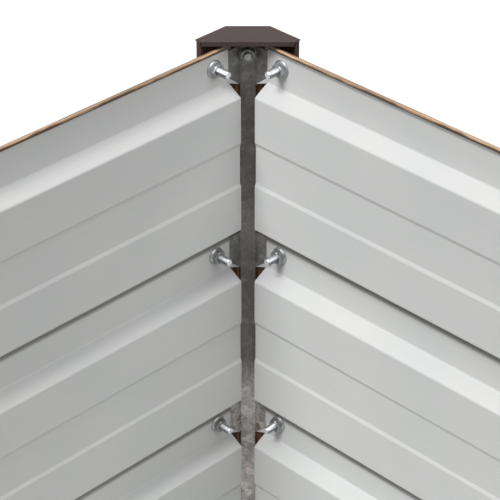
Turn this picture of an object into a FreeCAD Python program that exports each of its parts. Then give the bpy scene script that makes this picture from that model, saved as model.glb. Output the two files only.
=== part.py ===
# Square raised garden bed of roll-formed steel boards, in millimetres.
#
# Frame: +Z up, the origin on the ground at the middle of the footprint, the walls along X and Y.
# Each wall is three ship-lapped boards.  At each corner the boards are bolted to the folded ears
# of a galvanised bracket; a chamfered cover and a flat cap close the corner from outside.
#
# Places at a corner are given by three lengths:
#   reach    along the wall, from the corner axis (where the boards' two inner planes meet)
#   outward  from the boards' inner plane towards the outside
#   drop     down from the top edge of the wall, or of the board's own level

import FreeCAD
import Part

import math
import os
import types

import Sketcher

ROWS = ("top", "middle", "bottom")
SIDES = {"back": 0, "left": 90, "front": 180, "right": 270}
CORNERS = {"back_right": 0, "back_left": 90, "front_left": 180, "front_right": 270}

# Round outlines that repeat many times, and the corners of small bends, are made of flat sides.
BORE_SIDES = 8
ROUND_SIDES = 12
HALF_OF_45 = math.tan(math.radians(22.5))

# Driving dimensions: alias, value, meaning.
DIMENSIONS = (
    ("outer_side", 1000, "side of the square footprint, over the corner covers"),
    ("board_pitch", 150, "height that each board adds to the wall"),
    ("board_sheet", 0.6, "sheet thickness of a board"),
    ("board_end", 6.75, "reach of a board's square end"),
    ("bend_radius", 1.5, "inside radius of a board's main bends"),
    ("lap_gap", 0.1, "gap between sheets that lie on each other"),
    ("ridge_height", 30.2, "height of the flat ridge that the bolts go through"),
    ("ridge_depth", 12.2, "ridge's inner face outward of the board's inner plane"),
    ("ridge_slope", 7.1, "height of the slope from the ridge in to the flat"),
    ("groove_top", 72.6, "drop of the shallow groove's upper edge"),
    ("groove_height", 35.6, "height of the shallow groove with both its slopes"),
    ("groove_depth", 1.0, "depth of the shallow groove"),
    ("groove_slope", 2.9, "height of each slope of the groove"),
    ("foot_rise", 6.2, "flat's lower fold above the next board's level"),
    ("foot_slope", 7.5, "height of the slope from the flat out to the lip"),
    ("lip_length", 4.7, "height of the lip that laps over the next board"),
    ("hem_height", 3.0, "height of the rolled hem on the top boards"),
    ("hem_width", 3.2, "width of the rolled hem"),
    ("hem_radius", 1.5, "outside radius of the hem's two round shoulders"),
    ("bolt_reach", 20.3, "reach of the panel bolts"),
    ("bolt_drop", 14.5, "drop of the panel bolts below their board's level"),
    ("bolt_hole", 7.0, "diameter of every bolt hole"),
    ("bracket_sheet", 1.2, "sheet thickness of the bracket"),
    ("web_half", 5.3, "half the width of the bracket's web, at its front face"),
    ("web_drop", 5.0, "drop of the web's top edge"),
    ("ear_gap", 0.5, "height from the lip of the board above down to the ear"),
    ("ear_reach", 27.5, "reach of the ear's free end"),
    ("ear_heel_drop", 36.0, "drop of the ear's lower edge at the fold"),
    ("ear_toe_drop", 19.8, "drop of the ear's lower edge at its free end"),
    ("ear_corner", 5.0, "rounding of the ear's two free corners"),
    ("cover_sheet", 0.8, "sheet thickness of the corner cover"),
    ("cover_room", 3.6, "room between the panel bolts' heads and the cover"),
    ("cover_reach", 28.2, "reach of the cover's return lip"),
    ("cover_lip", 4.5, "width of the cover's return lip"),
    ("cover_bend", 1.0, "inside radius of the cover's bends"),
    ("cap_sheet", 0.8, "sheet thickness of the cap"),
    ("cap_rise", 7.0, "cap's top face above the wall's top edge"),
    ("cap_rim", 3.3, "height of the cap's rim at its inner edge"),
    ("cap_play", 0.05, "play between the cap's rim and the cover's lips"),
    ("tab_half", 10.0, "half the width of the cap's tab"),
    ("tab_drop", 22.0, "drop of the tab's lower end"),
    ("cover_bolt_drop", 11.8, "drop of the upper cover bolt"),
    ("cover_bolt_rise", 40.0, "height of the lower cover bolt above the ground"),
    ("thread_diameter", 6.0, "bolt thread, outside diameter"),
    ("panel_bolt_length", 16.0, "length of a panel bolt under its head"),
    ("cover_bolt_length", 12.0, "length of a cover bolt under its head"),
    ("head_diameter", 10.5, "diameter of a bolt's head"),
    ("head_height", 3.3, "height of a bolt's head"),
    ("nut_flats", 9.8, "width across a nut's flats"),
    ("nut_height", 5.4, "height of a nut with its flange or washer face"),
    ("nut_play", 0.15, "radial play between a bolt and its nut"),
    ("flange_diameter", 14.2, "diameter of a panel nut's flange"),
    ("flange_height", 1.2, "height of a panel nut's flange"),
    ("washer_face_diameter", 9.6, "diameter of a cover nut's washer face"),
    ("washer_face_height", 0.5, "height of a cover nut's washer face"),
)


class Size:
    """A length that carries its value and the sheet formula that drives it."""

    def __init__(self, value, formula):
        self.value = float(value)
        self.formula = formula

    def __add__(self, other):
        other = as_size(other)
        return Size(self.value + other.value, f"({self.formula} + {other.formula})")

    def __sub__(self, other):
        other = as_size(other)
        return Size(self.value - other.value, f"({self.formula} - {other.formula})")

    def __mul__(self, other):
        other = as_size(other)
        return Size(self.value * other.value, f"({self.formula} * {other.formula})")

    def __truediv__(self, other):
        other = as_size(other)
        return Size(self.value / other.value, f"({self.formula} / {other.formula})")

    def __neg__(self):
        return as_size(0) - self


def as_size(number):
    """Return a plain number as a Size, and a Size as it is."""
    return number if isinstance(number, Size) else Size(number, repr(float(number)))


def square_root(size):
    return Size(math.sqrt(size.value), f"sqrt({size.formula})")


def fill_sheet(doc):
    """Write the driving dimensions to the spreadsheet and return them as Sizes."""
    sheet = doc.addObject("Spreadsheet::Sheet", "Dims")
    for row, (alias, value, meaning) in enumerate(DIMENSIONS, start=1):
        sheet.set(f"A{row}", meaning)
        sheet.set(f"B{row}", str(value))
        sheet.setAlias(f"B{row}", alias)
    doc.recompute()
    names = [alias for alias, _, _ in DIMENSIONS]
    return types.SimpleNamespace(**{name: Size(sheet.get(name), f"Dims.{name}") for name in names})


def half_bend(rise, run):
    """Tangent of half the angle by which a slope of this rise and run leaves the vertical."""
    return (square_root(rise * rise + run * run) - rise) / run


def derive_places(d):
    """Add the places that follow from the driving dimensions."""
    d.diagonal = square_root(as_size(2))
    d.ridge_outer = d.ridge_depth + d.board_sheet
    d.lip_inner = d.ridge_outer + d.lap_gap
    d.foot_low = d.foot_slope - d.foot_rise
    d.lip_end = d.foot_low + d.lip_length
    d.tuck = d.foot_low + d.bend_radius * half_bend(d.foot_slope, d.lip_inner) + d.lap_gap
    d.wall_height = d.board_pitch * len(ROWS) + d.lip_end

    d.ear_inner = d.ridge_outer + d.lap_gap
    d.ear_outer = d.ear_inner + d.bracket_sheet
    d.web_front = d.ear_inner * d.diagonal - d.web_half
    d.web_back = d.web_front + d.bracket_sheet
    d.web_back_half = d.ear_outer * d.diagonal - d.web_back
    d.ear_top = d.lip_end + d.ear_gap

    d.cover_inner = d.ear_outer + d.head_height + d.cover_room
    d.cover_outer = d.cover_inner + d.cover_sheet
    d.chamfer_inner = d.web_back + d.cap_sheet
    d.chamfer_outer = d.chamfer_inner + d.cover_sheet
    d.cover_lip_end = d.cover_outer - d.cover_lip
    d.cap_seat = d.cap_rise - d.cap_sheet

    d.inner_half = d.outer_side / 2 - d.cover_outer
    d.board_length = (d.inner_half - d.board_end) * 2
    d.bolt_radius = d.thread_diameter / 2
    d.hole_radius = d.bolt_hole / 2
    d.bore_radius = d.bolt_radius + d.nut_play
    return d


# ------------------------------------------------------------------ sketches and features

def origin_feature(body, role):
    return next(item for item in body.Origin.OriginFeatures if item.Role == role)


def new_body(doc, label, placement):
    body = doc.addObject("PartDesign::Body", label)
    body.Label = label
    body.AllowCompound = True
    body.Placement = placement
    return body


def new_sketch(body, name, role, lift=0):
    """Sketch on one of the body's own planes, lifted along the plane's normal."""
    sketch = body.newObject("Sketcher::SketchObject", name)
    sketch.AttachmentSupport = [(origin_feature(body, role), "")]
    sketch.MapMode = "FlatFace"
    sketch.setExpression("AttachmentOffset.Base.z", as_size(lift).formula)
    return sketch


def add_driven(sketch, driven):
    """Add constraints, each given by its kind, its geometry and the size that drives it."""
    first = sketch.ConstraintCount
    sketch.addConstraint([Sketcher.Constraint(*place, size.value) for *place, size in driven])
    for index, (*_, size) in enumerate(driven, start=first):
        sketch.setExpression(f"Constraints[{index}]", size.formula)


def point_place(geometry, position, point):
    """The two driven constraints that hold one point of a sketch."""
    return [(kind, -1, 1, geometry, position, as_size(size))
            for kind, size in zip(("DistanceX", "DistanceY"), point)]


def corner_arc(before, corner, after, radius):
    """Arc that rounds a corner, with its ends on the two sides and its turning direction."""
    to_before = (before - corner).normalize()
    to_after = (after - corner).normalize()
    half_angle = to_before.getAngle(to_after) / 2
    cut = radius / math.tan(half_angle)
    bisector = (to_before + to_after).normalize()
    centre = corner + bisector * (radius / math.sin(half_angle))
    start, end = corner + to_before * cut, corner + to_after * cut
    turns_left = (corner - before).cross(after - corner).z > 0
    first, last = (start, end) if turns_left else (end, start)
    angles = [math.atan2(point.y - centre.y, point.x - centre.x) for point in (first, last)]
    circle = Part.Circle(centre, FreeCAD.Vector(0, 0, 1), radius)
    return Part.ArcOfCircle(circle, *angles), start, end, turns_left


def add_outline(sketch, points):
    """Closed outline through points (x, y) or (x, y, radius), the last with a rounded corner."""
    corners = [FreeCAD.Vector(as_size(point[0]).value, as_size(point[1]).value, 0)
               for point in points]
    count = len(points)
    starts, ends, arcs = list(corners), list(corners), {}
    for i, point in enumerate(points):
        if len(point) > 2:
            arc, ends[i], starts[i], turns_left = corner_arc(
                corners[i - 1], corners[i], corners[(i + 1) % count], point[2].value)
            arcs[i] = (arc, turns_left)
    # line i runs from corner i to corner i + 1
    lines = sketch.addGeometry([Part.LineSegment(starts[i], ends[(i + 1) % count])
                                for i in range(count)])
    joined, driven = [], []
    for i, point in enumerate(points):
        before, after = lines[i - 1], lines[i]
        if i not in arcs:
            joined.append(Sketcher.Constraint("Coincident", before, 2, after, 1))
            driven += point_place(after, 1, point)
            continue
        arc, turns_left = arcs[i]
        curve = sketch.addGeometry(arc)
        near, far = (1, 2) if turns_left else (2, 1)
        sharp = sketch.addGeometry(Part.Point(corners[i]), True)
        joined += [
            Sketcher.Constraint("Tangent", before, 2, curve, near),
            Sketcher.Constraint("Tangent", curve, far, after, 1),
            Sketcher.Constraint("PointOnObject", sharp, 1, before),
            Sketcher.Constraint("PointOnObject", sharp, 1, after)]
        driven += point_place(sharp, 1, point) + [("Radius", curve, point[2])]
    sketch.addConstraint(joined)
    add_driven(sketch, driven)


def round_outline(centre, radius, sides):
    """Corners, on the circle itself, of an even outline that stands for a circle."""
    angles = [math.pi * (2 * i + 1) / sides for i in range(sides)]
    return [(centre[0] + radius * math.cos(angle), centre[1] + radius * math.sin(angle))
            for angle in angles]


def bore_outline(d):
    """Outline of a nut's bore, whose flat sides clear the thread by the nut's play."""
    centre = (as_size(0), as_size(0))
    return round_outline(centre, d.bore_radius / math.cos(math.pi / BORE_SIDES), BORE_SIDES)


def eased(points):
    """Outline in which each point (x, y, cut) is rounded in three chords.

    The cut is the length that the rounding takes off each of the point's two sides.
    """
    outline = []
    for i, point in enumerate(points):
        if len(point) < 3:
            outline.append(point)
            continue
        corner, cut = point[:2], point[2]
        sides = []
        for neighbour in (points[i - 1], points[(i + 1) % len(points)]):
            run = [neighbour[axis] - corner[axis] for axis in (0, 1)]
            share = cut / square_root(run[0] * run[0] + run[1] * run[1])
            sides.append([corner[axis] + run[axis] * share for axis in (0, 1)])
        start, end = sides
        outline += [
            tuple(start),
            tuple((start[axis] * 4 + corner[axis] * 4 + end[axis]) / 9 for axis in (0, 1)),
            tuple((start[axis] + corner[axis] * 4 + end[axis] * 4) / 9 for axis in (0, 1)),
            tuple(end)]
    return outline


def add_pad(body, name, sketch, length, down=False, both_ways=False):
    pad = body.newObject("PartDesign::Pad", name)
    pad.Profile = sketch
    pad.setExpression("Length", length.formula)
    pad.Reversed = down
    pad.SideType = "Symmetric" if both_ways else "One side"
    body.Tip = pad
    return pad


def add_through_holes(body, name, role, centres, radius):
    """Holes through everything in front of and behind one of the body's planes."""
    sketch = new_sketch(body, f"{name}Sketch", role)
    for centre in centres:
        add_outline(sketch, round_outline(centre, radius, BORE_SIDES))
    pocket = body.newObject("PartDesign::Pocket", name)
    pocket.Profile = sketch
    pocket.Type = "ThroughAll"
    pocket.SideType = "Symmetric"
    body.Tip = pocket
    return pocket


def repeat(body, originals, steps):
    """Repeat features by a chain of patterns, each a function that adds one to the body."""
    chain = body.newObject("PartDesign::MultiTransform", "Repeat")
    chain.Originals = originals
    chain.Transformations = [step(body) for step in steps]
    body.Tip = chain


def mirrored_across_diagonal(body):
    mirror = body.newObject("PartDesign::Mirrored", "OtherWall")
    mirror.MirrorPlane = (origin_feature(body, "YZ_Plane"), [""])
    return mirror


def turned_to_other_wall(body):
    """Second copy a quarter turn on, for bolts whose axes cross on the body's own Z axis."""
    turn = body.newObject("PartDesign::PolarPattern", "OtherWall")
    turn.Axis = (origin_feature(body, "Z_Axis"), [""])
    turn.Mode = "Spacing"
    turn.Offset = 90
    turn.Occurrences = 2
    return turn


def stepped_down_rows(body, step):
    """Copies one board pitch below each other, or the given height below each other."""
    rows = body.newObject("PartDesign::LinearPattern", "Rows")
    rows.Direction = (origin_feature(body, "Z_Axis"), [""])
    rows.Reversed = True
    rows.Mode = "Spacing"
    rows.setExpression("Offset", step.formula)
    return rows


def turned(angle, reach_x=0.0, reach_y=0.0, height=0.0):
    """Placement: a move by (x, y) and up, then a turn about the bed's vertical axis."""
    turn = FreeCAD.Rotation(FreeCAD.Vector(0, 0, 1), angle)
    move = FreeCAD.Vector(reach_x, reach_y, height)
    return FreeCAD.Placement(turn.multVec(move), turn)


def corner_point(d, reach, outward):
    """Point of the plan at a corner, in axes across and along the bed's diagonal."""
    return (reach + outward) / d.diagonal, (outward - reach) / d.diagonal


# ------------------------------------------------------------------ sub-parts

def folded_face(d, path, outer):
    """One face of a board's sheet: the path itself, or the path offset outward by the sheet.

    The path's runs are upright or sloping in turn; each sloping run shifts up or down when it is
    offset, so that the sheet keeps its thickness.  Bends marked 'in' or 'out' are rounded, with
    the small radius on the face that lies inside the bend.
    """
    face = []
    for outward, drop, bend, slope in path:
        x = outward + d.board_sheet if outer else outward
        y = -(drop + slope) if outer else -drop
        if not bend:
            face.append((x, y))
            continue
        inside = (bend == "in") != outer
        face.append((x, y, d.bend_radius if inside else d.bend_radius + d.board_sheet))
    return face


def board_path(d, top_drop):
    """Inner face of a board from its top edge down: outward, drop, bend, shift of the offset."""
    into_flat = d.board_sheet * half_bend(d.ridge_slope, d.ridge_depth)
    groove = d.board_sheet * half_bend(d.groove_slope, d.groove_depth)
    out_to_lip = d.board_sheet * half_bend(d.foot_slope, d.lip_inner)
    flat = as_size(0)
    groove_end = d.groove_top + d.groove_height
    fold = d.board_pitch - d.foot_rise
    return [
        (d.ridge_depth, top_drop, None, flat),
        (d.ridge_depth, d.ridge_height, "in", into_flat),
        (flat, d.ridge_height + d.ridge_slope, "out", into_flat),
        (flat, d.groove_top, None, -groove),
        (d.groove_depth, d.groove_top + d.groove_slope, None, -groove),
        (d.groove_depth, groove_end - d.groove_slope, None, groove),
        (flat, groove_end, None, groove),
        (flat, fold, "out", -out_to_lip),
        (d.lip_inner, fold + d.foot_slope, "in", -out_to_lip),
        (d.lip_inner, d.board_pitch + d.lip_end, None, flat),
    ]


def hem_outline(d):
    """Rolled hem from the ridge's inner face, round its inside, and back over its top."""
    crest_inner = d.board_sheet
    hem_inner = d.ridge_outer - d.hem_width
    return [
        (d.ridge_depth, -crest_inner),
        (hem_inner + d.board_sheet, -crest_inner),
        (hem_inner + d.board_sheet, -d.hem_height),
        (hem_inner, -d.hem_height),
        (hem_inner, as_size(0), d.hem_radius),
        (d.ridge_outer, as_size(0), d.hem_radius),
    ]


def make_board(doc, d, side, row_number):
    """One roll-formed board; the top row has a hem, the others tuck under the board above."""
    has_hem = row_number == 0
    level = d.wall_height - d.board_pitch * row_number
    body = new_body(doc, f"board_{side}_{ROWS[row_number]}",
                    turned(SIDES[side], 0, d.inner_half.value, level.value))
    path = board_path(d, d.tuck)
    inner, outer = folded_face(d, path, False), folded_face(d, path, True)
    if has_hem:
        outline = hem_outline(d) + outer[1:] + inner[:0:-1]
    else:
        outline = outer + inner[::-1]
    profile = new_sketch(body, "Profile", "YZ_Plane")
    add_outline(profile, outline)
    add_pad(body, "Sheet", profile, d.board_length, both_ways=True)
    bolt_place = d.inner_half - d.bolt_reach
    add_through_holes(body, "BoltHoles", "XZ_Plane",
                      [(bolt_place, -d.bolt_drop), (-bolt_place, -d.bolt_drop)], d.hole_radius)
    return body


def make_bracket(doc, d, name, placement):
    """Galvanised strip with a pair of ears, folded parallel to the walls, at each board."""
    body = new_body(doc, f"corner_bracket_{name}", placement)
    section = new_sketch(body, "WebSection", "XY_Plane", -d.web_drop)
    add_outline(section, [
        (-d.web_half, d.web_front), (d.web_half, d.web_front),
        (d.web_back_half, d.web_back), (-d.web_back_half, d.web_back)])
    add_pad(body, "Web", section, d.wall_height - d.web_drop, down=True)
    add_through_holes(body, "CoverBoltHoles", "XZ_Plane", cover_bolt_places(d), d.hole_radius)

    # the ear's sketch plane is the body's XZ plane, turned parallel to the wall and moved out
    # to the ear's inner face
    ear = new_sketch(body, "EarOutline", "XZ_Plane")
    ear.AttachmentOffset = FreeCAD.Placement(
        FreeCAD.Vector(), FreeCAD.Rotation(FreeCAD.Vector(0, 1, 0), -45))
    ear.setExpression("AttachmentOffset.Base.x", (d.ear_inner / d.diagonal).formula)
    ear.setExpression("AttachmentOffset.Base.z", (-d.ear_inner / d.diagonal).formula)
    fold = (d.web_back_half - d.web_back) / d.diagonal
    add_outline(ear, eased([
        (fold, -d.ear_top), (fold, -d.ear_heel_drop),
        (d.ear_reach, -d.ear_toe_drop, d.ear_corner * HALF_OF_45),
        (d.ear_reach, -d.ear_top, d.ear_corner)]))
    add_outline(ear, round_outline((d.bolt_reach, -d.bolt_drop), d.hole_radius, BORE_SIDES))
    ear_pad = add_pad(body, "Ear", ear, d.bracket_sheet, down=True)
    repeat(body, [ear_pad], [mirrored_across_diagonal, row_pattern(d)])
    return body


def row_pattern(d):
    def add_rows(body):
        rows = stepped_down_rows(body, d.board_pitch)
        rows.Occurrences = len(ROWS)
        return rows
    return add_rows


def cover_bolt_places(d):
    """Upper and lower cover bolt, across and up from the wall's top edge."""
    return [(as_size(0), -d.cover_bolt_drop), (as_size(0), d.cover_bolt_rise - d.wall_height)]


def make_cover(doc, d, name, placement):
    """Corner cover: a chamfer, a leg along each wall and a return lip on each leg."""
    body = new_body(doc, f"corner_cover_{name}", placement)
    section = new_sketch(body, "CoverSection", "XY_Plane", d.cap_seat)
    outside_bend = d.cover_bend + d.cover_sheet
    lip_reach = d.cover_reach - d.cover_sheet
    half = [
        (d.cover_outer * d.diagonal - d.chamfer_outer, d.chamfer_outer, outside_bend * HALF_OF_45),
        (*corner_point(d, d.cover_reach, d.cover_outer), outside_bend),
        corner_point(d, d.cover_reach, d.cover_lip_end),
        corner_point(d, lip_reach, d.cover_lip_end),
        (*corner_point(d, lip_reach, d.cover_inner), d.cover_bend),
        (d.cover_inner * d.diagonal - d.chamfer_inner, d.chamfer_inner, d.cover_bend * HALF_OF_45),
    ]
    other_half = [(-point[0], *point[1:]) for point in reversed(half)]
    add_outline(section, eased(half + other_half))
    add_pad(body, "Cover", section, d.wall_height + d.cap_seat, down=True)
    add_through_holes(body, "CoverBoltHoles", "XZ_Plane", cover_bolt_places(d), d.hole_radius)
    return body


def make_cap(doc, d, name, placement):
    """Flat cap on the cover, with a rim inside the bed and a tab behind the bracket's web."""
    body = new_body(doc, f"corner_cap_{name}", placement)
    lip_end = corner_point(d, d.cover_reach, d.cover_lip_end)
    rim_outer = lip_end[1] - d.cap_play - d.cap_sheet
    rim_half = d.cover_reach * d.diagonal + rim_outer
    chamfer_half = d.cover_outer * d.diagonal - d.chamfer_outer
    side = corner_point(d, d.cover_reach, d.cover_outer)

    plate = new_sketch(body, "PlateOutline", "XY_Plane", d.cap_seat)
    add_outline(plate, [
        (chamfer_half, d.chamfer_outer), (-chamfer_half, d.chamfer_outer),
        (-side[0], side[1]), (-rim_half, rim_outer), (rim_half, rim_outer), side])
    add_pad(body, "Plate", plate, d.cap_sheet)

    rim = new_sketch(body, "RimOutline", "XY_Plane", d.cap_seat)
    rim_inner = rim_outer + d.cap_sheet
    add_outline(rim, [
        (-rim_half, rim_outer), (rim_half, rim_outer),
        (rim_half, rim_inner), (-rim_half, rim_inner)])
    add_pad(body, "Rim", rim, d.cap_rim - d.cap_sheet, down=True)

    tab = new_sketch(body, "TabOutline", "XY_Plane", d.cap_seat)
    add_outline(tab, [
        (-d.tab_half, d.web_back), (d.tab_half, d.web_back),
        (d.tab_half, d.chamfer_inner), (-d.tab_half, d.chamfer_inner)])
    add_pad(body, "Tab", tab, d.cap_seat + d.tab_drop, down=True)
    add_through_holes(body, "CoverBoltHole", "XZ_Plane", cover_bolt_places(d)[:1], d.hole_radius)
    return body


def add_bolt(body, d, role, outward, seat, length):
    """Shank and round head of a bolt whose head seats on the outside, at the seat.

    Outward is 1 or -1, the way in which the plane's normal runs to the bed's outside.
    """
    centre = (as_size(0), as_size(0))
    shank = new_sketch(body, "ShankOutline", role, seat * outward)
    add_outline(shank, round_outline(centre, d.bolt_radius, BORE_SIDES))
    shank_pad = add_pad(body, "Shank", shank, length, down=outward > 0)
    head = new_sketch(body, "HeadOutline", role, seat * outward)
    add_outline(head, round_outline(centre, d.head_diameter / 2, ROUND_SIDES))
    return [shank_pad, add_pad(body, "Head", head, d.head_height, down=outward < 0)]


def add_nut(body, d, role, outward, seat, collar_diameter, collar_height):
    """Hexagon nut on a round collar, seated from the inside, with a corner to each side."""
    collar = new_sketch(body, "CollarOutline", role, seat * outward)
    centre = (as_size(0), as_size(0))
    add_outline(collar, round_outline(centre, collar_diameter / 2, ROUND_SIDES))
    add_outline(collar, bore_outline(d))
    collar_pad = add_pad(body, "Collar", collar, collar_height, down=outward > 0)
    hexagon = new_sketch(body, "HexOutline", role, (seat - collar_height) * outward)
    corner = d.nut_flats / square_root(as_size(3))
    flat = d.nut_flats / 2
    add_outline(hexagon, [
        (corner, as_size(0)), (corner / 2, flat), (-corner / 2, flat),
        (-corner, as_size(0)), (-corner / 2, -flat), (corner / 2, -flat)])
    add_outline(hexagon, bore_outline(d))
    height = d.nut_height - collar_height
    return [collar_pad, add_pad(body, "Hexagon", hexagon, height, down=outward > 0)]


def make_panel_bolts(doc, d, name, placement):
    """Six bolts through boards and ears; the axes of the two walls cross on the body's Z."""
    body = new_body(doc, f"panel_bolts_{name}", placement)
    seat = d.ear_outer + d.bolt_reach
    bolt = add_bolt(body, d, "YZ_Plane", 1, seat, d.panel_bolt_length)
    repeat(body, bolt, [turned_to_other_wall, row_pattern(d)])
    return body


def make_panel_nuts(doc, d, name, placement):
    """Six flange nuts on the boards' inner faces."""
    body = new_body(doc, f"panel_nuts_{name}", placement)
    seat = d.ridge_depth + d.bolt_reach
    nut = add_nut(body, d, "YZ_Plane", 1, seat, d.flange_diameter, d.flange_height)
    repeat(body, nut, [turned_to_other_wall, row_pattern(d)])
    return body


def make_cover_bolts(doc, d, name, placement):
    """Two bolts through cover, tab and web, along the bed's diagonal."""
    body = new_body(doc, f"cover_bolts_{name}", placement)
    bolt = add_bolt(body, d, "XZ_Plane", -1, d.chamfer_outer, d.cover_bolt_length)
    repeat(body, bolt, [cover_bolt_pattern(d)])
    return body


def make_cover_nuts(doc, d, name, placement):
    """Two hexagon nuts on the web's front face, each with a round washer face."""
    body = new_body(doc, f"cover_nuts_{name}", placement)
    nut = add_nut(body, d, "XZ_Plane", -1, d.web_front, d.washer_face_diameter,
                  d.washer_face_height)
    repeat(body, nut, [cover_bolt_pattern(d)])
    return body


def cover_bolt_pattern(d):
    def add_lower(body):
        step = d.wall_height - d.cover_bolt_rise - d.cover_bolt_drop
        rows = stepped_down_rows(body, step)
        rows.Occurrences = 2
        return rows
    return add_lower


# ------------------------------------------------------------------ assembly

def build_bed(doc):
    d = derive_places(fill_sheet(doc))
    half, top = d.inner_half.value, d.wall_height.value
    crossing = half - d.bolt_reach.value
    bolt_height = top - d.bolt_drop.value
    cover_bolt_height = top - d.cover_bolt_drop.value
    bodies = [make_board(doc, d, side, row) for row in range(len(ROWS)) for side in SIDES]
    for name, angle in CORNERS.items():
        def on_diagonal(height):
            place = turned(angle, half, half, height)
            place.Rotation = FreeCAD.Rotation(FreeCAD.Vector(0, 0, 1), angle - 45)
            return place

        bodies += [
            make_bracket(doc, d, name, on_diagonal(top)),
            make_cover(doc, d, name, on_diagonal(top)),
            make_cap(doc, d, name, on_diagonal(top)),
            make_panel_bolts(doc, d, name, turned(angle, crossing, crossing, bolt_height)),
            make_panel_nuts(doc, d, name, turned(angle, crossing, crossing, bolt_height)),
            make_cover_bolts(doc, d, name, on_diagonal(cover_bolt_height)),
            make_cover_nuts(doc, d, name, on_diagonal(cover_bolt_height)),
        ]
    return bodies


def check_document(doc, bodies):
    for item in doc.Objects:
        if "Invalid" in item.State or "Error" in item.State:
            raise RuntimeError(f"{item.Label} is {item.State}")
    for body in bodies:
        if body.Shape.isNull() or not body.Shape.isValid() or not body.Shape.Solids:
            raise RuntimeError(f"{body.Label} has no valid solid")


def main():
    doc = FreeCAD.newDocument("RaisedGardenBed")
    bodies = build_bed(doc)
    doc.recompute()
    check_document(doc, bodies)
    os.makedirs("parts", exist_ok=True)
    for body in bodies:
        body.Shape.exportStep(f"parts/{body.Label}.step")
        print(f"{body.Label}: {len(body.Shape.Solids)} solid(s), {body.Shape.Volume:.0f} mm3")


main()
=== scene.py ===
import math

import bmesh
import bpy
from mathutils import Matrix, Vector


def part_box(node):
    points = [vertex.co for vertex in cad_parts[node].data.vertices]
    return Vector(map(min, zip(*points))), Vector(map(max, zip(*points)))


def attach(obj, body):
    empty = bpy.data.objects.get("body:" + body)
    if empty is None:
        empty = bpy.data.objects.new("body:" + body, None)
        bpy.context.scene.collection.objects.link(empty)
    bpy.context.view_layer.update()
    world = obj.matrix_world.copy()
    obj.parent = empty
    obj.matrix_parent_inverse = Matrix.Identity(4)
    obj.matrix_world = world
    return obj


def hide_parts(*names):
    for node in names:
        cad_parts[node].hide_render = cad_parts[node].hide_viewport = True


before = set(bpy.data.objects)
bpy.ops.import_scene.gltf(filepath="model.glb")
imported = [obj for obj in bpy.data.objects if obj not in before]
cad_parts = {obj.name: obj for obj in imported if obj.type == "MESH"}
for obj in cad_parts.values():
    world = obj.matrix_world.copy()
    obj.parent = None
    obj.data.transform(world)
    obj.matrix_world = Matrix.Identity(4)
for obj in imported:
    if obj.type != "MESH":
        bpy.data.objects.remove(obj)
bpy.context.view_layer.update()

MM = 0.001
CORNERS = {"back_right": 0, "back_left": 90, "front_left": 180, "front_right": 270}
ROWS = 3

# Places that the fasteners and the finishes share with the solids.
WALL_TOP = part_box("board_back_top")[1].z
INNER_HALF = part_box("board_back_top")[0].y
BOARD_PITCH = 150 * MM
RIDGE_INNER = 12.2 * MM
HEM_SHOULDER = 11.2 * MM
HEM_UNDERSIDE = 2.7 * MM
BOLT_REACH = 20.3 * MM
BOLT_DROP = 14.5 * MM
SHANK_LENGTH = 16 * MM
EAR_OUTER = 14.1 * MM
WEB_FRONT = 12.94 * MM
COVER_REACH = 28.2 * MM
CHAMFER_OUTER = 15.74 * MM
COVER_BOLT_HEIGHTS = (444.2 * MM, 40 * MM)


# ------------------------------------------------------------------ nodes

MATH = "ShaderNodeMath"
VECTOR_MATH = "ShaderNodeVectorMath"
MIX = "ShaderNodeMix"
RANGE = "ShaderNodeMapRange"
RAMP = "ShaderNodeValToRGB"
SPLIT = "ShaderNodeSeparateXYZ"
JOIN = "ShaderNodeCombineXYZ"


def feed(tree, node, inputs):
    """Give inputs, in order or under their keys, a value or another node's output each."""
    keyed = inputs if isinstance(inputs, dict) else dict(enumerate(inputs))
    for key, value in keyed.items():
        if isinstance(value, bpy.types.NodeSocket):
            tree.links.new(value, node.inputs[key])
        else:
            node.inputs[key].default_value = value


def add(tree, kind, inputs=(), output=0, **settings):
    """Add a node with its settings and links; returns one output, or for None the whole node."""
    node = tree.nodes.new(kind)
    for name, value in settings.items():
        setattr(node, name, value)
    feed(tree, node, inputs)
    return node if output is None else node.outputs[output]


def srgb(code):
    """Linear colour of an sRGB hex value."""
    channels = [int(code[i:i + 2], 16) / 255 for i in (0, 2, 4)]
    return [c / 12.92 if c <= 0.04045 else ((c + 0.055) / 1.055) ** 2.4 for c in channels] + [1]


def set_stops(ramp, *stops):
    """Give a colour ramp its (position, hex colour) stops, and return its colour."""
    elements = ramp.color_ramp.elements
    while len(elements) < len(stops):
        elements.new(0.5)
    for element, (position, code) in zip(elements, stops):
        element.position, element.color = position, srgb(code)
    return ramp.outputs[0]


def weighted_sum(tree, *terms):
    """Sum of (value, weight) terms."""
    total = 0.0
    for value, weight in terms:
        total = add(tree, MATH, (value, weight, total), operation="MULTIPLY_ADD")
    return total


def patches(tree, place, size, detail=2.0):
    """Random soft patches of about a size in millimetres, which may be one for each axis."""
    sizes = size if isinstance(size, tuple) else (size,) * 3
    scaled = add(tree, "ShaderNodeMapping",
                 {"Vector": place, "Scale": [1 / (length * MM) for length in sizes]})
    return add(tree, "ShaderNodeTexNoise", {"Vector": scaled, "Scale": 1.0, "Detail": detail})


def reaches(tree, vector):
    """How far a vector reaches along X and along Y, whichever way it points."""
    parts = add(tree, SPLIT, (vector,), None).outputs
    return [add(tree, MATH, (part,), operation="ABSOLUTE") for part in (parts[0], parts[1])]


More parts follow.
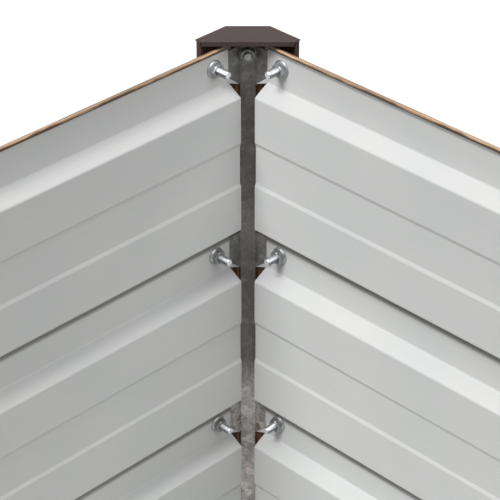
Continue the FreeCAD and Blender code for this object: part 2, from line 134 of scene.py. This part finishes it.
def new_material(name):
    """Material with a bare surface: also its tree, that surface and the coordinates."""
    material = bpy.data.materials.new(name)
    material.use_nodes = True
    tree = material.node_tree
    tree.nodes.clear()
    surface = add(tree, "ShaderNodeBsdfPrincipled", (), None)
    add(tree, "ShaderNodeOutputMaterial", {"Surface": surface.outputs[0]}, None)
    return material, tree, surface, add(tree, "ShaderNodeTexCoord", (), None).outputs


def faces_outside(tree, coordinates):
    """1 on faces that look away from the middle of the bed, and 0 on those that look in."""
    level_normal = add(tree, VECTOR_MATH, (coordinates["Normal"], (1, 1, 0)),
                       operation="MULTIPLY")
    turned_out = add(tree, VECTOR_MATH, (level_normal, coordinates["Object"]), "Value",
                     operation="DOT_PRODUCT")
    return add(tree, MATH, (turned_out, 0.0), operation="GREATER_THAN")


def bumped(tree, *layers):
    """Normal bumped by (height value, depth in metres) layers, one on the other."""
    normal = {}
    for value, depth in layers:
        normal["Normal"] = add(tree, "ShaderNodeBump",
                               {"Height": value, "Distance": depth, **normal})
    return normal["Normal"]


# ------------------------------------------------------------------ materials

def hem_print_and_painted_light(tree, print_colour, board, out, z):
    """The print on the rolled hem, with a painted highlight on its crown and a painted shade where
    it turns under.

    A painted shade darkens it along the back shoulder too. All of it is uneven, in patches
    22 mm long.
    """
    uneven = patches(tree, board, (22, 110, 110))
    wander = add(tree, RANGE, (uneven, 0.3, 0.7, -0.9 * MM, 0.9 * MM))
    height = add(tree, MATH, (z, wander), operation="ADD")
    crown = add(tree, RANGE, (height, WALL_TOP - 1.0 * MM, WALL_TOP - 0.2 * MM, 0.0, 0.3))
    under = add(tree, RANGE, (height, WALL_TOP - 0.6 * MM, WALL_TOP - 1.6 * MM, 0.0, 1.0))
    offset = add(tree, MATH, (out, INNER_HALF + HEM_SHOULDER), operation="SUBTRACT")
    offset = add(tree, MATH, (offset,), operation="ABSOLUTE")
    shoulder_shade = add(tree, MATH, (add(tree, RANGE, (offset, 0.35 * MM, 0.8 * MM, 0.85, 0.0)),
                               add(tree, RANGE, (uneven, 0.35, 0.6, 0.35, 1.0))),
                  operation="MULTIPLY")
    colour = print_colour
    # painted highlight on the crown (DDBD9B), painted shade under it (4C3928) and along the back
    # shoulder (5E4A38)
    for amount, code in ((crown, "DDBD9B"), (under, "4C3928"), (shoulder_shade, "5E4A38")):
        colour = add(tree, MIX, {0: amount, 6: colour, 7: srgb(code)}, 2, data_type="RGBA")
    return colour


def painted_overhang_shade(tree, back_colour, out, z):
    """The back coat with a painted shadow in the sheltered strip under each overhang.

    The painted shadow reaches as far down as it takes to show from above, past the overhang.
    """
    recessed = add(tree, MATH, (out, INNER_HALF + 0.95 * RIDGE_INNER), operation="GREATER_THAN")
    for row, reach in ((1, 6.5 * MM), (2, 8.5 * MM)):
        level = WALL_TOP - BOARD_PITCH * row
        below = add(tree, MATH, (z, level + 1 * MM), operation="LESS_THAN")
        shade_fade = add(tree, RANGE, (z, level - reach - 3 * MM, level - reach, 0.0, 0.85))
        overhang_shade_share = add(tree, MATH, (shade_fade, below), operation="MULTIPLY")
        overhang_shade_share = add(tree, MATH, (recessed, overhang_shade_share), operation="MULTIPLY")
        # painted shadow: the back coat turns dark grey in the strip under the overhang
        back_colour = add(tree, MIX, {0: overhang_shade_share, 6: back_colour, 7: srgb("625E58")}, 2,
                          data_type="RGBA")
    return back_colour


def coil_coated_steel():
    """Coil-coated steel sheet: a smooth pale grey back coat, and a printed brown grain outside.

    The roller-applied coat is even and half matt, with a faint orange peel and long marks that
    the forming rolls leave; the print's streaks run along the board.
    """
    material, tree, surface, coordinates = new_material("coil_coated_steel")
    place = coordinates["Object"]
    x, y, z = add(tree, SPLIT, (place,), None).outputs
    sides = reaches(tree, place)
    out = add(tree, MATH, sides, operation="MAXIMUM")
    on_side_wall = add(tree, MATH, sides, operation="GREATER_THAN")
    board = add(tree, JOIN, (add(tree, MIX, {0: on_side_wall, 2: x, 3: y}), z,
                             add(tree, MIX, {0: on_side_wall, 2: y, 3: x})))

    # streaks 90 mm long and 1.5 mm wide, in bands 14 mm wide, with pores 8 mm long
    streaks = patches(tree, board, (90, 1.5, 7.5), 3.0)
    bands = patches(tree, board, (220, 14, 70))
    pores = add(tree, RANGE, (patches(tree, board, (8, 0.6, 3), 1.0), 0.62, 0.72, 0.0, 0.45))
    grain = weighted_sum(tree, (streaks, 0.62), (bands, 0.38))
    print_colour = set_stops(
        add(tree, RAMP, (grain,), None), (0.36, "5F4938"), (0.45, "8C6D54"), (0.52, "AC8A6D"),
        (0.60, "CBAA8B"), (0.68, "DDBF9F"))
    print_colour = add(tree, MIX, {0: pores, 6: print_colour, 7: srgb("4A382B")}, 2,
                       data_type="RGBA")
    on_hem = add(tree, MATH, (z, WALL_TOP - HEM_UNDERSIDE), operation="GREATER_THAN")
    print_colour = add(tree, MIX, {0: on_hem, 6: print_colour,
                                   7: hem_print_and_painted_light(tree, print_colour, board, out, z)}, 2,
                       data_type="RGBA")

    clouds = patches(tree, place, 70)
    roll_marks = patches(tree, board, (900, 2.2, 11))
    grit = patches(tree, place, 0.7)
    tone = weighted_sum(tree, (clouds, 0.5), (roll_marks, 0.25), (grit, 0.25))
    back_colour = set_stops(
        add(tree, RAMP, (tone,), None), (0.40, "C9CBCA"), (0.50, "CBCCCB"), (0.60, "CECECD"))
    # painted shadow under each overhang, on the back coat
    back_colour = painted_overhang_shade(tree, back_colour, out, z)

    printed = add(tree, MATH, (faces_outside(tree, coordinates), on_hem), operation="MAXIMUM")
    peel = patches(tree, place, 1.4, 1.0)
    raised = add(tree, MATH, (streaks, printed), operation="MULTIPLY")
    feed(tree, surface, {
        "Base Color": add(tree, MIX, {0: printed, 6: back_colour, 7: print_colour}, 2,
                          data_type="RGBA"),
        "Roughness": add(tree, RANGE, (tone, 0.35, 0.65, 0.46, 0.56)),
        "IOR": 1.5,
        "Normal": bumped(tree, (peel, 0.012 * MM), (roll_marks, 0.02 * MM), (raised, 0.04 * MM))})
    return material


def powder_coated_steel(name, printed_inside):
    """Powder-coated steel of the caps and covers: dark grey-brown, a fine leather texture.

    The covers' inside carries a brown print like the boards' instead.
    """
    material, tree, surface, coordinates = new_material(name)
    place = coordinates["Object"]
    clouds = patches(tree, place, 25)
    grit = patches(tree, place, 0.8)
    tone = weighted_sum(tree, (clouds, 0.4), (grit, 0.6))
    coat = set_stops(
        add(tree, RAMP, (tone,), None), (0.36, "2E2220"), (0.50, "342725"), (0.66, "3A2D2B"))
    if printed_inside:
        streaks = patches(tree, place, (1.6, 1.6, 80), 3.0)
        brown = set_stops(
            add(tree, RAMP, (streaks,), None), (0.35, "3F2A1C"), (0.50, "65472F"),
            (0.65, "8D6A4C"))
        # the outer faces of the two return lips look in, but carry the outside coat
        lip_side = add(tree, MATH, reaches(tree, place), operation="MINIMUM")
        on_lip = add(tree, MATH, (lip_side, INNER_HALF - COVER_REACH + 0.4 * MM),
                     operation="LESS_THAN")
        coated = add(tree, MATH, (faces_outside(tree, coordinates), on_lip),
                     operation="MAXIMUM")
        coat = add(tree, MIX, {0: coated, 6: brown, 7: coat}, 2, data_type="RGBA")
    feed(tree, surface, {
        "Base Color": coat,
        "Roughness": add(tree, RANGE, (grit, 0.3, 0.7, 0.74, 0.86)),
        "IOR": 1.5,
        "Normal": bumped(tree, (grit, 0.05 * MM))})
    return material


def galvanised_steel():
    """Hot-dip galvanised strip: dull grey zinc whose spangle shows as pale and dark patches."""
    material, tree, surface, coordinates = new_material("galvanised_steel")
    place = coordinates["Object"]
    # spangle 7 mm across, with edges that wander by 3 mm
    warp = add(tree, "ShaderNodeTexNoise", {"Vector": place, "Scale": 1 / (6 * MM)}, "Color")
    warped = add(tree, VECTOR_MATH, (warp, (3 * MM,) * 3, place), operation="MULTIPLY_ADD")
    cells = add(tree, "ShaderNodeTexVoronoi", {"Vector": warped, "Scale": 1 / (7 * MM)}, "Color")
    cell_tone = add(tree, "ShaderNodeSeparateColor", (cells,))
    frost = patches(tree, place, 2.5, 4.0)
    fine = weighted_sum(tree, (cell_tone, 0.3), (frost, 0.7))
    dull = set_stops(
        add(tree, RAMP, (fine,), None), (0.30, "6A6967"), (0.50, "767573"), (0.70, "868583"))
    smudges = add(tree, RANGE, (patches(tree, place, 9, 3.0), 0.58, 0.74, 0.0, 0.55))
    dull = add(tree, MIX, {0: smudges, 6: dull, 7: srgb("A9A7A4")}, 2, data_type="RGBA")

    # the lower half is paler, and its spangle shows more there
    z = add(tree, SPLIT, (place,), 2)
    wander = add(tree, RANGE, (patches(tree, place, 28, 3.0), 0.3, 0.7, -7 * MM, 7 * MM))
    tide = add(tree, MATH, (z, wander), operation="ADD")
    pale_lower_share = add(tree, RANGE, (tide, 190 * MM, 160 * MM, 0.0, 1.0))
    pale_lower_colour = set_stops(
        add(tree, RAMP, (fine,), None), (0.30, "8C8A87"), (0.50, "B4B2AF"), (0.68, "D6D3CF"))
    colour = add(tree, MIX, {0: pale_lower_share, 6: dull, 7: pale_lower_colour}, 2, data_type="RGBA")

    # painted light: the ears are drawn a little brighter than the web, and the paler lower half
    # paler still towards the ground, to make up for the weaker light that falls there, because the
    # photograph shows them so
    squareness = add(tree, MATH, reaches(tree, coordinates["Normal"]), operation="MAXIMUM")
    painted_light_gain = add(tree, MIX, {0: pale_lower_share, 2: add(tree, RANGE, (squareness, 0.80, 0.95, 1.0, 1.35)),
                           3: add(tree, RANGE, (z, 80 * MM, 150 * MM, 1.4, 0.84))})
    feed(tree, surface, {
        "Base Color": add(tree, VECTOR_MATH, {0: colour, "Scale": painted_light_gain}, operation="SCALE"),
        "Metallic": 0.6,
        "Roughness": add(tree, RANGE, (fine, 0.3, 0.7, 0.46, 0.62)),
        "Normal": bumped(tree, (frost, 0.04 * MM), (cell_tone, 0.02 * MM))})
    return material


def zinc_plate(name, dark, middle, light, roughness, underside_shade_share):
    """Zinc-plated steel of bolts and nuts: a clear metal shine in slightly uneven patches.

    The shanks carry a painted shade on their sides and undersides, by up to the given share, and
    keep their plain colour on their tops and cut ends.
    """
    material, tree, surface, coordinates = new_material(name)
    place = coordinates["Object"]
    clouds = patches(tree, place, 4, 3.0)
    grit = patches(tree, place, 0.35)
    colour = set_stops(
        add(tree, RAMP, (clouds,), None), (0.35, dark), (0.50, middle), (0.65, light))
    out = add(tree, MATH, reaches(tree, place), operation="MAXIMUM")
    off_cut_end = add(tree, MATH, (out, INNER_HALF + EAR_OUTER - SHANK_LENGTH + 0.2 * MM),
                      operation="GREATER_THAN")
    # painted shade: faces that look sideways and down turn dark grey, by up to the given share
    facing_up = add(tree, SPLIT, (coordinates["Normal"],), 2)
    under = add(tree, RANGE, (facing_up, 0.45, 0.1, 0.0, underside_shade_share))
    underside_shade = add(tree, MATH, (off_cut_end, under), operation="MULTIPLY")
    feed(tree, surface, {
        "Base Color": add(tree, MIX, {0: underside_shade, 6: colour, 7: srgb("54555A")}, 2,
                          data_type="RGBA"),
        "Metallic": 0.85,
        "Roughness": add(tree, RANGE, (clouds, 0.3, 0.7, roughness - 0.05, roughness + 0.05)),
        "Normal": bumped(tree, (grit, 0.006 * MM))})
    return material


FINISHES = {
    "board_": coil_coated_steel(),
    "corner_bracket_": galvanised_steel(),
    "corner_cover_": powder_coated_steel("powder_coated_steel_printed_inside", True),
    "corner_cap_": powder_coated_steel("powder_coated_steel", False),
}
BRIGHT_ZINC = zinc_plate("bright_zinc_plate", "D6D7DC", "E2E3E8", "ECECF0", 0.34, 0.85)
SATIN_ZINC = zinc_plate("satin_zinc_plate", "A4A5A6", "B2B3B4", "C0C1C2", 0.42, 0.3)
# the cover nuts' zinc is rougher, and its colour is painted dark as a painted reflection of the
# shaded floor inside the bed
DARK_REFLECTION_ZINC = zinc_plate("zinc_plate_painted_dark_reflection", "6F6E6C", "7C7B79", "8D8C8A", 0.45, 0.0)

for name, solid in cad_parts.items():
    for start, finish in FINISHES.items():
        if name.startswith(start):
            solid.data.materials.clear()
            solid.data.materials.append(finish)


# ------------------------------------------------------------------ fasteners

WELD_DISTANCE = 0.01 * MM
SHARP_ANGLE = math.radians(32)
TIP_CHAMFER = 0.8 * MM
# The thread is drawn at half its depth, because its full depth breaks up the shine.
THREAD_DEPTH_TO_PITCH = 0.3


def new_tree(name, sizes):
    """Geometry tree that takes seats, and a named length for each of the sizes."""
    tree = bpy.data.node_groups.new(name, "GeometryNodeTree")
    tree.interface.new_socket("Seats", in_out="INPUT", socket_type="NodeSocketGeometry")
    for label in sizes:
        tree.interface.new_socket(label, in_out="INPUT", socket_type="NodeSocketFloat")
    tree.interface.new_socket("Fasteners", in_out="OUTPUT", socket_type="NodeSocketGeometry")
    return tree, add(tree, "NodeGroupInput", (), None).outputs


def hexagon_radius(tree, angle, flats):
    """Radius at an angle of a hexagon with the given width across its flats."""
    turned = add(tree, MATH, (angle, math.radians(30 + 360)), operation="ADD")
    folded = add(tree, MATH, (turned, math.radians(60)), operation="FLOORED_MODULO")
    off_flat = add(tree, MATH, (folded, math.radians(30)), operation="SUBTRACT")
    cosine = add(tree, MATH, (off_flat,), operation="COSINE")
    half_flats = add(tree, MATH, (flats, 0.5), operation="MULTIPLY")
    return add(tree, MATH, (half_flats, cosine), operation="DIVIDE")


def swept_grid(tree, columns, rows):
    """Grid to be wrapped round an axis: its mesh, each point's angle and each point's row."""
    height = add(tree, MATH, (rows, 1.0), operation="SUBTRACT")
    mesh = add(tree, "GeometryNodeMeshGrid", {"Size X": float(columns), "Size Y": height,
                                              "Vertices X": columns + 1, "Vertices Y": rows},
               "Mesh")
    across, up, _ = add(tree, SPLIT, (add(tree, "GeometryNodeInputPosition"),), None).outputs
    angle = add(tree, MATH, (across, math.tau / columns), operation="MULTIPLY")
    half_height = add(tree, MATH, (height, 0.5), operation="MULTIPLY")
    from_foot = add(tree, MATH, (up, half_height), operation="ADD")
    return mesh, angle, add(tree, MATH, (from_foot,), operation="ROUND")


def wrap_round(tree, mesh, angle, radius, height):
    """Wrap the grid round the Z axis at the given radius and height, and weld it closed."""
    x, y = [add(tree, MATH, (radius, add(tree, MATH, (angle,), operation=ratio)),
                operation="MULTIPLY") for ratio in ("COSINE", "SINE")]
    moved = add(tree, "GeometryNodeSetPosition",
                {"Geometry": mesh, "Position": add(tree, JOIN, (x, y, height))})
    return add(tree, "GeometryNodeMergeByDistance", {"Geometry": moved, "Distance": WELD_DISTANCE})


def ring_length(tree, value):
    """A ring's length, which (size, share) or (size, share, shift) gives as a share of a size."""
    if isinstance(value, tuple):
        size, share, shift = (*value, 0.0)[:3]
        return add(tree, MATH, (size, share, shift), operation="MULTIPLY_ADD")
    return 1.0 if value is None else value


def turned_part(tree, rings, columns=24):
    """Round or hexagonal part through rings of (radius, height, width across flats or None)."""
    mesh, angle, row = swept_grid(tree, columns, len(rings))
    choices = []
    for values in zip(*rings):
        switch = add(tree, "GeometryNodeIndexSwitch", (), None, data_type="FLOAT")
        for _ in range(len(rings) - 2):
            switch.index_switch_items.new()
        feed(tree, switch, (row, *(ring_length(tree, value) for value in values)))
        choices.append(switch.outputs[0])
    radius, height, flats = choices
    radius = add(tree, MATH, (radius, hexagon_radius(tree, angle, flats)), operation="MINIMUM")
    return wrap_round(tree, mesh, angle, radius, height)


def threaded_rod(tree, diameter, pitch, length, columns=20, rows_per_turn=5):
    """Rod with a helical thread from its chamfered tip, below, up to height 0."""
    turns = add(tree, MATH, (length, pitch), operation="DIVIDE")
    steps = add(tree, MATH, (turns, rows_per_turn), operation="MULTIPLY")
    steps = add(tree, MATH, (steps,), operation="ROUND")
    # one more row at each end closes the rod on its axis
    mesh, angle, row = swept_grid(tree, columns,
                                  add(tree, MATH, (steps, 3.0), operation="ADD"))
    step = add(tree, MATH, (row, 1.0), operation="SUBTRACT")
    step = add(tree, MATH, (step, 0.0), operation="MAXIMUM")
    step = add(tree, MATH, (step, steps), operation="MINIMUM")
    share = add(tree, MATH, (step, steps), operation="DIVIDE")
    rise = add(tree, MATH, (length, share), operation="MULTIPLY")

    phase = add(tree, MATH, (add(tree, MATH, (rise, pitch), operation="DIVIDE"),
                             add(tree, MATH, (angle, math.tau), operation="DIVIDE")),
                operation="ADD")
    phase = add(tree, MATH, (phase,), operation="FRACT")
    groove = add(tree, MATH, (phase, 2.0), operation="MULTIPLY")
    groove = add(tree, MATH, (groove, 1.0), operation="SUBTRACT")
    groove = add(tree, MATH, (groove,), operation="ABSOLUTE")
    depth = add(tree, MATH, (pitch, THREAD_DEPTH_TO_PITCH), operation="MULTIPLY")
    depth = add(tree, MATH, (depth, groove), operation="MULTIPLY")
    crest = add(tree, MATH, (diameter, 0.5), operation="MULTIPLY")
    radius = add(tree, MATH, (crest, depth), operation="SUBTRACT")

    chamfer = add(tree, MATH, (crest, TIP_CHAMFER), operation="SUBTRACT")
    chamfer = add(tree, MATH, (chamfer, rise), operation="ADD")
    radius = add(tree, MATH, (radius, chamfer), operation="MINIMUM")
    last = add(tree, MATH, (steps, 1.5), operation="ADD")
    inside = add(tree, MATH, (add(tree, MATH, (row, 0.5), operation="GREATER_THAN"),
                              add(tree, MATH, (row, last), operation="LESS_THAN")),
                 operation="MULTIPLY")
    radius = add(tree, MATH, (radius, inside), operation="MULTIPLY")
    height = add(tree, MATH, (rise, length), operation="SUBTRACT")
    return wrap_round(tree, mesh, angle, radius, height)


def set_on_seats(tree, seats, part, spin, seed, finish):
    """Put a copy of the part on each seat, spun about its own axis, and give it its finish."""
    facing = add(tree, "GeometryNodeInputNamedAttribute", {"Name": "facing"},
                 data_type="FLOAT_VECTOR")
    turn = add(tree, "FunctionNodeRandomValue",
               {"Min": (0, 0, 0), "Max": (0, 0, 1), "Seed": seed}, data_type="FLOAT_VECTOR")
    own_spin = add(tree, VECTOR_MATH, {0: turn, "Scale": spin}, operation="SCALE")
    rotation = add(tree, "FunctionNodeRotateRotation", (facing, own_spin),
                   rotation_space="LOCAL")
    copies = add(tree, "GeometryNodeInstanceOnPoints",
                 {"Points": seats, "Instance": part, "Rotation": rotation})
    plain = add(tree, "GeometryNodeRealizeInstances", (copies,))
    finished = add(tree, "GeometryNodeSetMaterial", {"Geometry": plain, "Material": finish})
    add(tree, "NodeGroupOutput", (finished,), None)


def bolt_tree(name, finish):
    """Button-head bolt with a hexagon socket, its seat at height 0 and its tip below."""
    tree, size = new_tree(name, (
        "Thread diameter", "Pitch", "Length", "Head diameter", "Head height", "Socket flats"))
    head, height, socket = size["Head diameter"], size["Head height"], size["Socket flats"]
    rings = (
        (0.0, 0.0, None),
        ((head, 0.47), 0.0, None),
        ((head, 0.5), (height, 0.07), None),
        ((head, 0.5), (height, 0.24), None),
        ((head, 0.475), (height, 0.45), None),
        ((head, 0.42), (height, 0.68), None),
        ((head, 0.345), (height, 0.87), None),
        ((head, 0.275), (height, 0.97), None),
        ((head, 0.235), height, None),
        ((socket, 0.62), height, None),
        ((socket, 0.60), (height, 0.94), socket),
        ((socket, 0.60), (height, 0.45), socket),
        (0.0, (height, 0.36), None),
    )
    rod = threaded_rod(tree, size["Thread diameter"], size["Pitch"], size["Length"])
    whole = add(tree, "GeometryNodeJoinGeometry", (), None)
    for part in (turned_part(tree, rings), rod):
        feed(tree, whole, (part,))
    set_on_seats(tree, size["Seats"], whole.outputs[0], math.tau, 11, finish)
    return tree


def nut_tree(name, spin, collar_slope, finish):
    """Hexagon nut on its flange or washer face, with its seat at height 0 and the nut below."""
    tree, size = new_tree(name, (
        "Bore", "Flats", "Height", "Collar diameter", "Collar height"))
    bore, flats, tall = size["Bore"], size["Flats"], size["Height"]
    collar, thick = size["Collar diameter"], size["Collar height"]
    corner = add(tree, MATH, (flats, 0.5774), operation="MULTIPLY")
    rings = (
        ((bore, 0.5), (tall, -0.5), None),
        ((bore, 0.5), -0.3 * MM, None),
        ((bore, 0.5, 0.3 * MM), 0.0, None),
        ((collar, 0.5, -0.15 * MM), 0.0, None),
        ((collar, 0.5), (thick, -0.15), None),
        ((collar, 0.5), (thick, -0.55), None),
        ((corner, 1.04, 0.3 * MM * collar_slope), (thick, -1.0), None),
        (corner, (thick, -1.0, -0.35 * MM * collar_slope), flats),
        (corner, (tall, -0.87), flats),
        ((flats, 0.54), (tall, -0.95), flats),
        ((flats, 0.495), (tall, -1.0), flats),
        ((bore, 0.5, 0.35 * MM), (tall, -1.0), None),
        ((bore, 0.5), (tall, -1.0, 0.35 * MM), None),
        ((bore, 0.5), (tall, -0.5), None),
    )
    set_on_seats(tree, size["Seats"], turned_part(tree, rings), spin, 23, finish)
    return tree


def seat_mesh(name, seats):
    """Mesh of one point for each seat (place, outward direction), with its facing stored."""
    mesh = bpy.data.meshes.new(name)
    mesh.from_pydata([place for place, _ in seats], [], [])
    facing = mesh.attributes.new("facing", "FLOAT_VECTOR", "POINT")
    for i, (_, outward) in enumerate(seats):
        level = Vector((0, 0, 1)).cross(outward)
        turn = Matrix((level, outward.cross(level), outward)).transposed()
        facing.data[i].vector = turn.to_euler()
    return mesh


def make_fasteners(node, tree, seats, sizes):
    """Run the tree on the seats, keep the result as a plain mesh, and put it for the node."""
    carrier = bpy.data.objects.new(f"{node}_seats", seat_mesh(f"{node}_seats", seats))
    bpy.context.scene.collection.objects.link(carrier)
    modifier = carrier.modifiers.new("fasteners", "NODES")
    modifier.node_group = tree
    for item in tree.interface.items_tree:
        if item.in_out == "INPUT" and item.name in sizes:
            modifier[item.identifier] = sizes[item.name]
    graph = bpy.context.evaluated_depsgraph_get()
    mesh = bpy.data.meshes.new_from_object(carrier.evaluated_get(graph))
    bpy.data.objects.remove(carrier)
    shell = bmesh.new()
    shell.from_mesh(mesh)
    bmesh.ops.recalc_face_normals(shell, faces=shell.faces)
    shell.to_mesh(mesh)
    shell.free()
    for attribute in [a for a in mesh.attributes if a.name == "facing"]:
        mesh.attributes.remove(attribute)
    mesh.name = f"{node}_detailed"
    mesh.shade_smooth()
    mesh.set_sharp_from_angle(angle=SHARP_ANGLE)
    piece = bpy.data.objects.new(f"{node}_detailed", mesh)
    bpy.context.scene.collection.objects.link(piece)
    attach(piece, "root")
    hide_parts(node)


def panel_seats(turn, outward):
    """Six seats of a corner's panel bolts or nuts, as far outward of the inner planes."""
    seats = []
    for row in range(ROWS):
        height = WALL_TOP - BOLT_DROP - BOARD_PITCH * row
        for place, way in (((INNER_HALF + outward, INNER_HALF - BOLT_REACH), (1, 0, 0)),
                           ((INNER_HALF - BOLT_REACH, INNER_HALF + outward), (0, 1, 0))):
            seats.append((turn @ Vector((*place, height)), turn @ Vector(way)))
    return seats


def cover_seats(turn, outward):
    """Two seats of a corner's cover bolts or nuts, out along the diagonal."""
    way = Vector((1, 1, 0)).normalized()
    return [(turn @ (Vector((INNER_HALF, INNER_HALF, height)) + way * outward), turn @ way)
            for height in COVER_BOLT_HEIGHTS]


BOLT_SIZES = {"Thread diameter": 6 * MM, "Pitch": 1 * MM, "Length": SHANK_LENGTH,
              "Head diameter": 10.5 * MM, "Head height": 3.3 * MM, "Socket flats": 4 * MM}
COVER_BOLT_SIZES = dict(BOLT_SIZES, Length=10.5 * MM)
NUT_SIZES = {"Bore": 5.9 * MM, "Flats": 9.2 * MM, "Height": 5.2 * MM,
             "Collar diameter": 12.8 * MM, "Collar height": 1.2 * MM}
COVER_NUT_SIZES = {"Bore": 5.9 * MM, "Flats": 9.8 * MM, "Height": 5.4 * MM,
                   "Collar diameter": 9.6 * MM, "Collar height": 0.5 * MM}

bright_bolts = bolt_tree("bright_bolts", BRIGHT_ZINC)
satin_bolts = bolt_tree("satin_bolts", SATIN_ZINC)
flange_nuts = nut_tree("flange_nuts", math.tau, 1.0, SATIN_ZINC)
plain_nuts = nut_tree("plain_nuts", 0.0, 0.0, DARK_REFLECTION_ZINC)
for corner, angle in CORNERS.items():
    corner_turn = Matrix.Rotation(math.radians(angle), 3, "Z")
    make_fasteners(f"panel_bolts_{corner}", bright_bolts, panel_seats(corner_turn, EAR_OUTER),
                   BOLT_SIZES)
    make_fasteners(f"panel_nuts_{corner}", flange_nuts, panel_seats(corner_turn, RIDGE_INNER),
                   NUT_SIZES)
    make_fasteners(f"cover_bolts_{corner}", satin_bolts, cover_seats(corner_turn, CHAMFER_OUTER),
                   COVER_BOLT_SIZES)
    make_fasteners(f"cover_nuts_{corner}", plain_nuts, cover_seats(corner_turn, WEB_FRONT),
                   COVER_NUT_SIZES)


# ------------------------------------------------------------------ board ends

# The tongue's three points: along the wall from the corner, out from the inner plane, and down
# from the board's edge.
TONGUE_POINTS = ((6.95 * MM, 12.25 * MM, 26.4 * MM), (6.95 * MM, 11.3 * MM, 30.3 * MM),
                 (-4.4 * MM, 12.3 * MM, 35.4 * MM))
TONGUE_THICKNESS = 0.5 * MM


def make_end_tongues(corner, turn):
    """Small pointed tongue at the foot of each ridge's end, which laps in front of the ear."""
    shell = bmesh.new()
    for row in range(ROWS):
        level = WALL_TOP - BOARD_PITCH * row
        for mirrored in (False, True):
            front = []
            for along, out, down in TONGUE_POINTS:
                place = (INNER_HALF + out, INNER_HALF - along)
                place = Vector((*(place[::-1] if mirrored else place), level - down))
                front.append(shell.verts.new(turn @ place))
            outward = turn @ Vector((0, 1, 0) if mirrored else (1, 0, 0))
            back = [shell.verts.new(v.co + outward * TONGUE_THICKNESS) for v in front]
            shell.faces.new(front)
            shell.faces.new(back[::-1])
            for i in range(3):
                shell.faces.new((front[i], back[i], back[i - 2], front[i - 2]))
    bmesh.ops.recalc_face_normals(shell, faces=shell.faces)
    mesh = bpy.data.meshes.new(f"board_end_tongues_{corner}")
    shell.to_mesh(mesh)
    shell.free()
    mesh.materials.append(FINISHES["board_"])
    piece = bpy.data.objects.new(f"board_end_tongues_{corner}", mesh)
    bpy.context.scene.collection.objects.link(piece)
    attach(piece, "root")


for corner, angle in CORNERS.items():
    make_end_tongues(corner, Matrix.Rotation(math.radians(angle), 3, "Z"))


# ------------------------------------------------------------------ floor, light and camera

def seen_directly(tree):
    """1 where the camera, a reflection or clear glass looks at the surroundings, 0 for light."""
    path = add(tree, "ShaderNodeLightPath", (), None).outputs
    seen = path["Is Camera Ray"]
    for ray in ("Is Glossy Ray", "Is Transmission Ray"):
        seen = add(tree, MATH, (seen, path[ray]), operation="MAXIMUM")
    return seen


FLOOR_REACH = 8.0
FLOOR_DROP = 0.2 * MM


def make_floor():
    """Plain pale floor, which keeps the object's shadow and lights little from below."""
    mesh = bpy.data.meshes.new("floor")
    mesh.from_pydata([(FLOOR_REACH * x, FLOOR_REACH * y, 0)
                      for x, y in ((-1, -1), (1, -1), (1, 1), (-1, 1))], [], [(0, 1, 2, 3)])
    floor = bpy.data.objects.new("floor", mesh)
    floor.location.z = -FLOOR_DROP
    bpy.context.scene.collection.objects.link(floor)
    material, tree, surface, coordinates = new_material("pale_studio_floor")
    grain = patches(tree, coordinates["Object"], 20, 3.0)
    seen_colour = set_stops(add(tree, RAMP, (grain,), None), (0.3, "F4F4F3"), (0.7, "F8F8F7"))
    feed(tree, surface, {
        "Base Color": add(tree, MIX, {0: seen_directly(tree), 6: srgb("868684"),
                                      7: seen_colour}, 2, data_type="RGBA"),
        "Roughness": 0.9})
    floor.data.materials.append(material)


def light_studio():
    """Pale surroundings, and three large soft lamps: a key, a weaker fill, and one behind."""
    world = bpy.data.worlds.new("studio")
    bpy.context.scene.world = world
    world.use_nodes = True
    tree = world.node_tree
    tree.nodes.clear()
    strength = add(tree, MIX, {0: seen_directly(tree), 2: 0.16, 3: 1.0})
    background = add(tree, "ShaderNodeBackground", {"Color": (1, 1, 1, 1), "Strength": strength})
    add(tree, "ShaderNodeOutputWorld", {"Surface": background}, None)

    # name, way to the lamp, strength on a surface that faces it, and width in degrees
    lamps = (("key_lamp", (-1, 0, 1.15), 0.96, 24), ("fill_lamp", (0, -1, 0.75), 0.38, 36),
             ("back_lamp", (1, 1, 0.9), 0.26, 36))
    for name, way, strength, width in lamps:
        lamp = bpy.data.lights.new(name, "SUN")
        lamp.energy = math.pi * strength
        lamp.angle = math.radians(width)
        holder = bpy.data.objects.new(name, lamp)
        holder.rotation_euler = Vector(way).to_track_quat("Z", "Y").to_euler()
        bpy.context.scene.collection.objects.link(holder)


# The lens is given as a focal length in pixels of a picture of this width.
FOCAL_PIXELS = 2102
PICTURE_PIXELS = 500
SENSOR_WIDTH = 36


def set_camera():
    """Camera that looks down into the corner between the back and the right wall."""
    across = Vector((1, -1, 0)).normalized()
    diagonal = Vector((1, 1, 0)).normalized()
    back, above, yaw, pitch = 1.272, 0.645, math.radians(0.066), math.radians(32.44)
    forward = across * math.sin(yaw) + diagonal * math.cos(yaw)
    place = Vector((INNER_HALF, INNER_HALF, WALL_TOP + above)) - diagonal * back
    look = forward * math.cos(pitch) - Vector((0, 0, math.sin(pitch)))
    data = bpy.data.cameras.new("camera")
    data.sensor_width = SENSOR_WIDTH
    data.lens = SENSOR_WIDTH * FOCAL_PIXELS / PICTURE_PIXELS
    data.clip_start, data.clip_end = 0.05, 60
    camera = bpy.data.objects.new("camera", data)
    camera.location = place
    camera.rotation_euler = look.to_track_quat("-Z", "Y").to_euler()
    bpy.context.scene.collection.objects.link(camera)
    bpy.context.scene.camera = camera


make_floor()
light_studio()
set_camera()
bpy.context.scene.view_settings.view_transform = "Standard"
